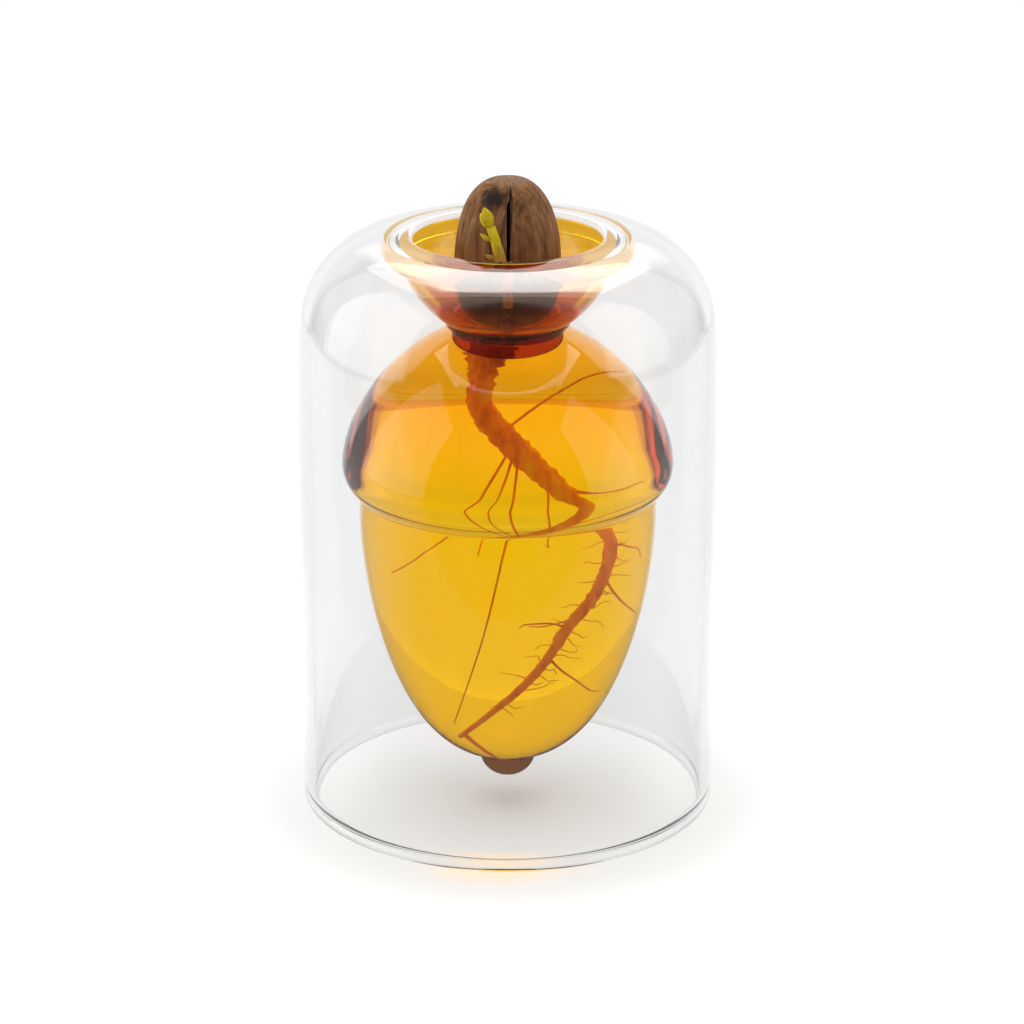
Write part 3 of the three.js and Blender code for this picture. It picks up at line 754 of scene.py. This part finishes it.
def acorn_outline(inset, steps=44):
    """Profile of the acorn from the scar's middle out and down to the root's opening."""
    reach = ACORN_RADIUS - inset
    scar = SCAR_RADIUS - inset / 2
    end = share_at(scar, reach, ACORN_ROUNDNESS)
    upper = oval(0, ACORN_WAIST, reach, ACORN_UPPER - inset, ACORN_ROUNDNESS, end=end, steps=steps)
    lower = oval(TIP_RADIUS, ACORN_WAIST, reach - TIP_RADIUS, inset - ACORN_LOWER, steps=22)
    top = upper[-1][1]
    flat = [(scar * share, top + SCAR_RISE * math.cos(share * math.pi / 2)) for share in SCAR_RINGS]
    return [*flat, *upper[::-1], *lower[1:]]


def split(z):
    """The split's middle and half its width: a hair at the scar, wider and further left below."""
    for (low, left, narrow), (high, right, wide) in zip(SPLIT, SPLIT[1:]):
        if z <= high:
            share = max(z - low, 0) / (high - low)
            return left + (right - left) * share, narrow + (wide - narrow) * share
    return right, SPLIT_END


def shell_grid(inset):
    """Rings of the shell from one edge of the split round the back to the other."""
    rings = []
    for r, z in acorn_outline(inset):
        middle, half = split(z)
        jag = 0.22 * noise.noise((z * 0.45, 1.7, 0)) + 0.1 * noise.noise((z * 1.7, 3.1, 0))
        jag *= min(half / 0.4, 1)
        middle *= min(r / SCAR_RADIUS, 1)
        first = math.asin(max(min((half + middle + jag) / r, 0.9), -0.9))
        last = math.asin(max(min((half - middle - jag) / r, 0.9), -0.9))
        ring = []
        for j in range(COLUMNS + 1):
            share = j / COLUMNS
            turn = -math.pi / 2 + first + (2 * math.pi - first - last) * share
            off = min(share, 1 - share) * 2 * math.pi * r
            curl = 0.28 * math.exp(-off / 0.9) * min(half / 0.6, 1)
            ridge = 0.05 * noise.noise((math.cos(turn) * 9, math.sin(turn) * 9, z * 0.05))
            dent = 0.12 * noise.noise((math.cos(turn) * 1.6, math.sin(turn) * 1.6, z * 0.12))
            out = r + (curl + ridge + dent) * min(r / 3, 1)
            ring.append((out * math.cos(turn), out * math.sin(turn), z))
        rings.append(ring)
    return rings


def two_layers(rows, columns, start=0):
    """Faces of a sheet made of two layers of rows of corners, closed all round its edges."""
    width = columns + 1
    back = rows * width
    faces = []
    for i in range(rows - 1):
        for j in range(columns):
            a = start + i * width + j
            faces.append((a, a + 1, a + width + 1, a + width))
            faces.append((back + a + width, back + a + width + 1, back + a + 1, back + a))
        for j in (0, columns):
            a = start + i * width + j
            faces.append((a, a + width, back + a + width, back + a))
    for i in (0, rows - 1):
        for j in range(columns):
            a = start + i * width + j
            faces.append((a, back + a, back + a + 1, a + 1))
    return faces


def bark(name, dark, middle, pale, across, along, depth):
    """Fibrous plant skin: streaks that run up the piece, with fine cracks between them."""
    made, wire = material(name)
    place = wire.node("TexCoord")["Object"]
    fibres = wire.node("VectorMath", {"operation": "MULTIPLY"}, {0: place, 1: (across, across, along)})
    streak = wire.node("TexNoise", None, {"Vector": fibres, "Scale": 1.0, "Detail": 6.0, "Roughness": 0.62})
    cloud = wire.node("TexNoise", None, {"Vector": place, "Scale": 260.0, "Detail": 3.0})
    share = streak["Fac"] * 0.75 + cloud["Fac"] * 0.25
    stops = [(0.36, dark), (0.5, middle), (0.66, pale)]
    colour = wire.node("ValToRGB", {"stops": stops}, {"Fac": share})
    bump = wire.node("Bump", None, {"Strength": depth, "Distance": 0.0004, "Height": share})
    return made, wire, place, share, colour, bump


shell_coat, wire, place, share, colour, bump = bark(
    "seed_coat", (0.1, 0.042, 0.016), (0.24, 0.105, 0.04), (0.4, 0.2, 0.09), across=700, along=45, depth=0.5
)
spread = wire.node("SeparateXYZ", None, {"Vector": place})
off_axis = wire.math("SQRT", spread["X"] * spread["X"] + spread["Y"] * spread["Y"])
bearing = wire.math("ARCTAN2", spread["Y"], spread["X"])
spokes = wire.node("CombineXYZ", None, {"X": bearing * 9.0, "Y": off_axis * 700.0, "Z": 0.0})
rays = wire.node("TexNoise", None, {"Vector": spokes, "Scale": 1.0, "Detail": 4.0})["Fac"]
scar = 1 - (off_axis + (rays - 0.5) * 0.0016).ease(0.0034, 0.0046)
scar = scar * spread["Z"].ease(0.138, 0.139)
colour = scar.blend(colour, wire.node("ValToRGB", {"stops": SCAR_FIBRES}, {"Fac": rays}))
spot = wire.node("VectorMath", {"operation": "DISTANCE"}, {0: place, 1: STAIN_PLACE})["Value"]
blotch = 1 - (spot + (share - 0.5) * 0.004).ease(0.0012, 0.0042)
colour = (blotch * 0.9).blend(colour, STAIN)
low = 1 - spread["Z"].ease(0.121, 0.132)
colour = (low * 0.4).blend(colour, RED_BROWN)
# Painted shade: the lower part of the shell, down in the cup, is darkened almost to black.
low_shade = 1 - spread["Z"].ease(0.118, 0.1245)
colour = (low_shade * 0.85).blend(colour, SHELL_SHADE)
dull = 0.55 - 0.15 * low
coat = {"Base Color": colour, "Roughness": dull, "Normal": bump, "Specular IOR Level": 0.08}
show(wire, wire.node("BsdfPrincipled", None, coat))
outer, inner = shell_grid(0.0), shell_grid(SHELL_WALL)
corners = [corner for ring in outer + inner for corner in ring]
shell = piece("seed_shell_coat", corners, two_layers(len(outer), COLUMNS), [shell_coat], crease=50)
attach(shell, "seedling")
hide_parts("seed_shell")


# Seed leaves: the two halves of the kernel inside the shell, seen dark in the split.
# They meet at a flat face behind the split and feed the seedling.
KERNEL_MIDDLE = 0.3
KERNEL_GAP = 0.22
KERNEL_INSET = SHELL_WALL + 0.45
KERNEL_COLUMNS = 40
KERNEL_BULGE = 0.5
leaf_skin, wire, _, _, colour, bump = bark(
    "seed_leaf", (0.16, 0.08, 0.035), (0.34, 0.18, 0.085), (0.5, 0.3, 0.15), across=500, along=90, depth=0.6
)
show(wire, wire.node("BsdfPrincipled", None, {"Base Color": colour, "Roughness": 0.72, "Normal": bump}))


def seed_leaf(name, side):
    """Half of the kernel, on one side of the plane behind the split."""
    corners, faces = [], []
    outline = acorn_outline(KERNEL_INSET, 24)
    for r, z in outline:
        for j in range(KERNEL_COLUMNS + 1):
            turn = -math.pi / 2 + math.pi * j / KERNEL_COLUMNS
            wrinkle = 1 + 0.02 * noise.noise((math.cos(turn) * 4, side * 3, z * 0.4))
            out = r * wrinkle + KERNEL_BULGE * math.exp(-(((turn + math.pi / 2) / 0.13) ** 2))
            thick = KERNEL_GAP + max(out * math.cos(turn) - side * KERNEL_MIDDLE, 0)
            corners.append((KERNEL_MIDDLE + side * thick, out * math.sin(turn), z))
    width = KERNEL_COLUMNS + 1
    for i in range(len(outline) - 1):
        for j in range(KERNEL_COLUMNS):
            a = i * width + j
            faces.append((a, a + 1, a + width + 1, a + width))
        a = i * width
        faces.append((a, a + KERNEL_COLUMNS, a + KERNEL_COLUMNS + width, a + width))
    faces.append(tuple(range(width)))
    faces.append(tuple(range((len(outline) - 1) * width, len(outline) * width)))
    return piece(name, corners, faces, [leaf_skin])


for name, side in (("seed_leaf_left", -1), ("seed_leaf_right", 1)):
    half = seed_leaf(name + "_kernel", side)
    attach(half, "seedling")
    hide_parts(name)


# Root collar: the knobbly neck of the root where it leaves the acorn, in the vessel's neck.
# It leans to one side and narrows to the taproot, with small warts all over.
COLLAR_ROOT_RADIUS = 2.4
COLLAR_ROOT_TOP = 106.06
COLLAR_ROOT_LENGTH = 16.5
COLLAR_ROOT_LEAN = 4.6
TAPROOT_RADIUS = 2.0
OLD_ROOT = (0.3, 0.065, 0.008, 1)
DEEP_ROOT = (0.4, 0.1, 0.01, 1)


def route(points, steps):
    """A smooth line through the points, by cubic pieces, as evenly spaced positions."""
    line = [Vector(point) for point in points]
    line = [2 * line[0] - line[1], *line, 2 * line[-1] - line[-2]]
    fine = []
    for i in range(1, len(line) - 2):
        p0, p1, p2, p3 = line[i - 1 : i + 3]
        for k in range(24):
            t = k / 24
            fine.append(
                0.5
                * (
                    2 * p1
                    + (p2 - p0) * t
                    + (2 * p0 - 5 * p1 + 4 * p2 - p3) * t * t
                    + (3 * p1 - p0 - 3 * p2 + p3) * t**3
                )
            )
    fine.append(line[-2])
    reach = [0.0]
    for first, second in zip(fine, fine[1:]):
        reach.append(reach[-1] + (second - first).length)
    even, k = [], 0
    for i in range(steps + 1):
        goal = reach[-1] * i / steps
        while k < len(reach) - 2 and reach[k + 1] < goal:
            k += 1
        span = max(reach[k + 1] - reach[k], 1e-9)
        even.append(fine[k].lerp(fine[k + 1], min((goal - reach[k]) / span, 1)))
    return even


def stalk(path, radius, sides, corners, faces, seed=0.0, rough=0.0, knob=0.0):
    """Adds a tapering tube along a path, closed at both ends, with a rough and knobbly skin."""
    start = len(corners)
    across = Vector((0, 1, 0))
    for i, centre in enumerate(path):
        onward = (path[min(i + 1, len(path) - 1)] - path[max(i - 1, 0)]).normalized()
        across = (across - onward * across.dot(onward)).normalized()
        other = onward.cross(across)
        share = i / (len(path) - 1)
        for j in range(sides):
            turn = 2 * math.pi * j / sides
            spoke = across * math.cos(turn) + other * math.sin(turn)
            place = centre + spoke * radius(share)
            swell = rough * noise.noise(place * 1.1 + Vector((seed, 0, 0)))
            swell += rough * 0.5 * noise.noise(place * 3.1 + Vector((0, seed, 0)))
            wart = max(noise.noise(place * 0.95 + Vector((0, 0, seed + 7))) - 0.12, 0)
            corners.append(tuple(centre + spoke * radius(share) * (1 + swell + knob * wart)))
    for i in range(len(path) - 1):
        for j in range(sides):
            k = (j + 1) % sides
            a, b = start + i * sides, start + (i + 1) * sides
            faces.append((a + j, a + k, b + k, b + j))
    faces.append(tuple(range(start + sides - 1, start - 1, -1)))
    end = start + (len(path) - 1) * sides
    faces.append(tuple(range(end, end + sides)))


def lean(across, drop):
    """A point on the collar's line, by its shares of the lean and of the length."""
    return (-across * COLLAR_ROOT_LEAN, 0, COLLAR_ROOT_TOP - drop * COLLAR_ROOT_LENGTH)


def collar_root_radius(share):
    """Swollen in the middle, and down to the taproot's radius at its end."""
    swell = 1 + 0.45 * math.sin(math.pi * min(share / 0.8, 1))
    return (COLLAR_ROOT_RADIUS + (TAPROOT_RADIUS - COLLAR_ROOT_RADIUS) * share**2) * swell


root_skin, wire, place, share, colour, bump = bark(
    "root", (0.66, 0.15, 0.012), (1.0, 0.29, 0.025), (1.0, 0.48, 0.09), across=420, along=130, depth=0.5
)
rise = wire.node("SeparateXYZ", None, {"Vector": place})["Z"]
old = rise.ease(0.084, 0.1) * (1.15 - share)
colour = (old * 0.85).blend(colour, OLD_ROOT)
colour = (0.45 - 0.45 * rise.ease(0.045, 0.07)).blend(colour, DEEP_ROOT)
flesh = {"Base Color": colour, "Roughness": 0.68, "Normal": bump}
# Painted glow: the root gives off a faint light in its own colour, for the light that shines through it
# from behind.
flesh.update({"Emission Color": colour, "Emission Strength": 0.12})
show(wire, wire.node("BsdfPrincipled", None, flesh))
corners, faces = [], []
collar_path = route([lean(0, 0), lean(0.06, 0.1), lean(0.5, 0.32), lean(0.88, 0.58), lean(1, 1)], 90)
stalk(collar_path, collar_root_radius, 48, corners, faces, seed=3.0, rough=0.2, knob=0.95)
root_collar = piece("root_collar_skin", corners, faces, [root_skin], crease=80)
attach(root_collar, "seedling")
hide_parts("root_collar")


# Taproot: zigzags down the water from the collar to the nut's floor, with side roots and fine hairs.
# It is one limp growth.
ROOT_SPAN = NUT_RADIUS - VESSEL_WALL
ROOT_FLOOR = NUT_BOTTOM + VESSEL_WALL
ROOT_HEIGHT = NECK_END - ROOT_FLOOR
SIDE_ROOT_RADIUS = 0.26
SIDE_ROOTS = (
    (0.12, 0.7, 0.91, 0.1, 0.03),
    (0.17, -0.3, 0.12, -0.14, -0.16),
    (0.15, -0.6, 0.46, 0.12, -0.05),
    (0.16, -0.15, 0.55, -0.2, 0.02),
    (0.24, 0.22, 0.56, -0.16, -0.1),
    (0.27, 0.72, 0.67, 0.14, -0.03),
    (0.44, 0.78, 0.52, -0.1, 0.02),
    (0.51, 0.7, 0.36, 0.08, -0.03),
    (0.58, 0.12, 0.34, 0.16, -0.03),
    (0.65, 0.06, 0.37, -0.14, 0.02),
    (0.73, 0.46, 0.18, 0.1, -0.03),
)
ROOT_TIP_RADIUS = 0.5
HAIRS = 34
HAIR_RADIUS = 0.13


def in_vessel(x, z, y=0.0):
    """A point by its shares of the vessel's inside radius and of the height up to the neck."""
    return Vector((x * ROOT_SPAN, y * ROOT_SPAN, ROOT_FLOOR + z * ROOT_HEIGHT))


def taproot_radius(share):
    """Stout below the collar, then slender, and finer still towards the tip."""
    stout = 0.5 + 0.5 * math.cos(math.pi * min(max((share - 0.1) / 0.32, 0), 1))
    fine = 1 - 0.6 * max(share - 0.6, 0) / 0.4
    return TAPROOT_RADIUS * (0.53 * fine + 0.5 * stout)


taproot_path = route(
    [
        (-COLLAR_ROOT_LEAN, 0, COLLAR_ROOT_TOP - COLLAR_ROOT_LENGTH - 0.1),
        in_vessel(-0.155, 0.825),
        in_vessel(-0.06, 0.775, 0.02),
        in_vessel(0.15, 0.705, -0.02),
        in_vessel(0.43, 0.615, 0.01),
        in_vessel(0.54, 0.54, 0.03),
        in_vessel(0.46, 0.435, 0),
        in_vessel(0.31, 0.355, -0.03),
        in_vessel(0.19, 0.272, -0.01),
        in_vessel(0.05, 0.2, 0.02),
        in_vessel(-0.09, 0.145, 0.01),
        in_vessel(-0.25, 0.085, -0.02),
    ],
    220,
)
corners, faces = [], []
stalk(taproot_path, taproot_radius, 18, corners, faces, seed=5.0, rough=0.16, knob=0.5)


def on_taproot(share):
    """The place on the taproot's line at this share of its length."""
    return taproot_path[round(share * (len(taproot_path) - 1))]


def side_root(leaves, end, sag, thick, seed):
    """A thin root from a place along the taproot to its end, wavering a little."""
    start = on_taproot(leaves)
    points = []
    for i in range(7):
        share = i / 6
        waver = Vector([noise.noise((seed, share * 2.2, axis)) for axis in (0.3, 2.3, 4.3)]) * 1.6 * share
        droop = Vector((0, 0, 4 * sag * ROOT_HEIGHT * share * (1 - share) / 2))
        points.append(start.lerp(end, share) + droop + waver)
    stalk(route(points, 26), lambda share: thick * (1 - 0.55 * share), 6, corners, faces, seed, rough=0.1)


for i, (leaves, x, z, y, sag) in enumerate(SIDE_ROOTS):
    side_root(leaves, in_vessel(x, z, y), sag, SIDE_ROOT_RADIUS, 11.0 + i)
side_root(0.985, in_vessel(0.03, 0.012, -0.12), -0.005, ROOT_TIP_RADIUS, 31.0)
chance = random.Random(7)
for i in range(HAIRS):
    leaves = 0.3 + 0.62 * (i + 0.5) / HAIRS
    side = 1 if i % 3 else -1
    heading = Vector((side * chance.uniform(0.5, 1), chance.uniform(-0.5, 0.5), chance.uniform(-0.45, 0.3)))
    side_root(leaves, on_taproot(leaves) + heading * chance.uniform(3.5, 7), 0.0, HAIR_RADIUS, 40.0 + i)
taproot = piece("taproot_skin", corners, faces, [root_skin], crease=80)
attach(taproot, "seedling")
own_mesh(taproot)
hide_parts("taproot")


# Shoot: a soft yellow-green stem that comes out of the split and leans to the left,
# with a fan of folded leaves for a bud and two small scales on its left side.
STEM_RADIUS = 0.95
STEM_FOOT = (0.42, 0.17, 0.03, 1)
BUD_LEAVES = ((-2.1, 3.0, 2.0, -0.5), (-0.2, 4.3, 2.5, -0.2), (0.7, 3.6, 1.7, 0.3))
BUD_SPREAD = 0.62
SCALE_LEAVES = (("scale_leaf_lower", 0.62, 0.9), ("scale_leaf_upper", 0.84, 1.6))
shoot_skin, wire, place, _, colour, bump = bark(
    "shoot", (0.46, 0.3, 0.008), (0.7, 0.48, 0.012), (0.85, 0.62, 0.04), across=800, along=160, depth=0.4
)
young = wire.node("SeparateXYZ", None, {"Vector": place})["Z"].ease(0.1245, 0.131)
flesh = {"Base Color": young.blend(STEM_FOOT, colour), "Roughness": 0.5, "Normal": bump}
flesh.update({"Subsurface Weight": 0.15, "Specular IOR Level": 0.12})
show(wire, wire.node("BsdfPrincipled", None, flesh))


def off_acorn(across, up, lift):
    """A point off the front of the acorn, in shares of its half width and upper height, and stem radii."""
    x = across * ACORN_RADIUS
    skin = ACORN_RADIUS * (1 - max(up, 0) ** ACORN_ROUNDNESS) ** (1 / ACORN_ROUNDNESS)
    radius = skin + lift * STEM_RADIUS
    return Vector((x, -math.sqrt(radius**2 - x**2), ACORN_WAIST + up * ACORN_UPPER))


def stem_radius(share):
    """A little stouter in the middle."""
    return STEM_RADIUS * (1 + 0.25 * math.sin(math.pi * share))


def leaf(foot, tip, width, cup, thick, corners, faces):
    """Adds a pointed leaf that faces front: widest past its middle, cupped, with a ridge and an edge."""
    length = (tip - foot).length
    onward = (tip - foot).normalized()
    across = onward.cross(Vector((0, -1, 0))).normalized()
    up = across.cross(onward)
    start = len(corners)
    rows, columns = 12, 8
    for layer in (1, -1):
        for i in range(rows + 1):
            share = i / rows
            half = width / 2 * math.sin(math.pi * min(share * 0.92 + 0.06, 1)) ** 0.8
            blunt = math.sin(math.pi * min(share * 0.9 + 0.08, 1)) ** 0.5
            for j in range(columns + 1):
                side = 2 * j / columns - 1
                bow = cup * math.sin(math.pi * share) - cup * 0.6 * side * side
                edge = thick / 2 * (1 - 0.8 * side * side) * blunt
                place = foot + onward * length * share + across * half * side
                corners.append(tuple(place + up * (bow * min(share * 3, 1) + layer * edge)))
    faces.extend(two_layers(rows + 1, columns, start))


stem_path = route(
    [
        off_acorn(0.01, -0.18, -0.15),
        off_acorn(0.01, -0.045, -0.15),
        off_acorn(-0.02, 0.135, 1.2),
        off_acorn(-0.12, 0.3, 1.5),
        off_acorn(-0.21, 0.47, 1.6),
        off_acorn(-0.31, 0.63, 1.9),
    ],
    60,
)
corners, faces = [], []
stalk(stem_path, stem_radius, 20, corners, faces, seed=9.0, rough=0.1, knob=0.3)
stem = piece("shoot_stem_skin", corners, faces, [shoot_skin], crease=80)
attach(stem, "seedling")
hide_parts("shoot_stem")

stem_end = stem_path[-1]
onward = (stem_path[-1] - stem_path[-4]).normalized()
corners, faces = [], []
for sideways, lift, width, forward in BUD_LEAVES:
    tip = stem_end + onward * lift + Vector((sideways, forward, 0)) * BUD_SPREAD
    leaf(stem_end - onward * 0.3, tip, width, 0.45, 0.9, corners, faces)
bud = piece("shoot_bud_leaves", corners, faces, [shoot_skin], crease=70)
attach(bud, "seedling")
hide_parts("shoot_bud")

for name, share, rise in SCALE_LEAVES:
    joint = stem_path[round(share * (len(stem_path) - 1))]
    foot = joint + Vector((-STEM_RADIUS * 0.9, 0, 0))
    corners, faces = [], []
    leaf(foot, foot + Vector((-2.4, -0.2, rise)), 1.0, 0.15, 0.4, corners, faces)
    scale = piece(name + "_skin", corners, faces, [shoot_skin], crease=70)
    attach(scale, "seedling")
    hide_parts(name)
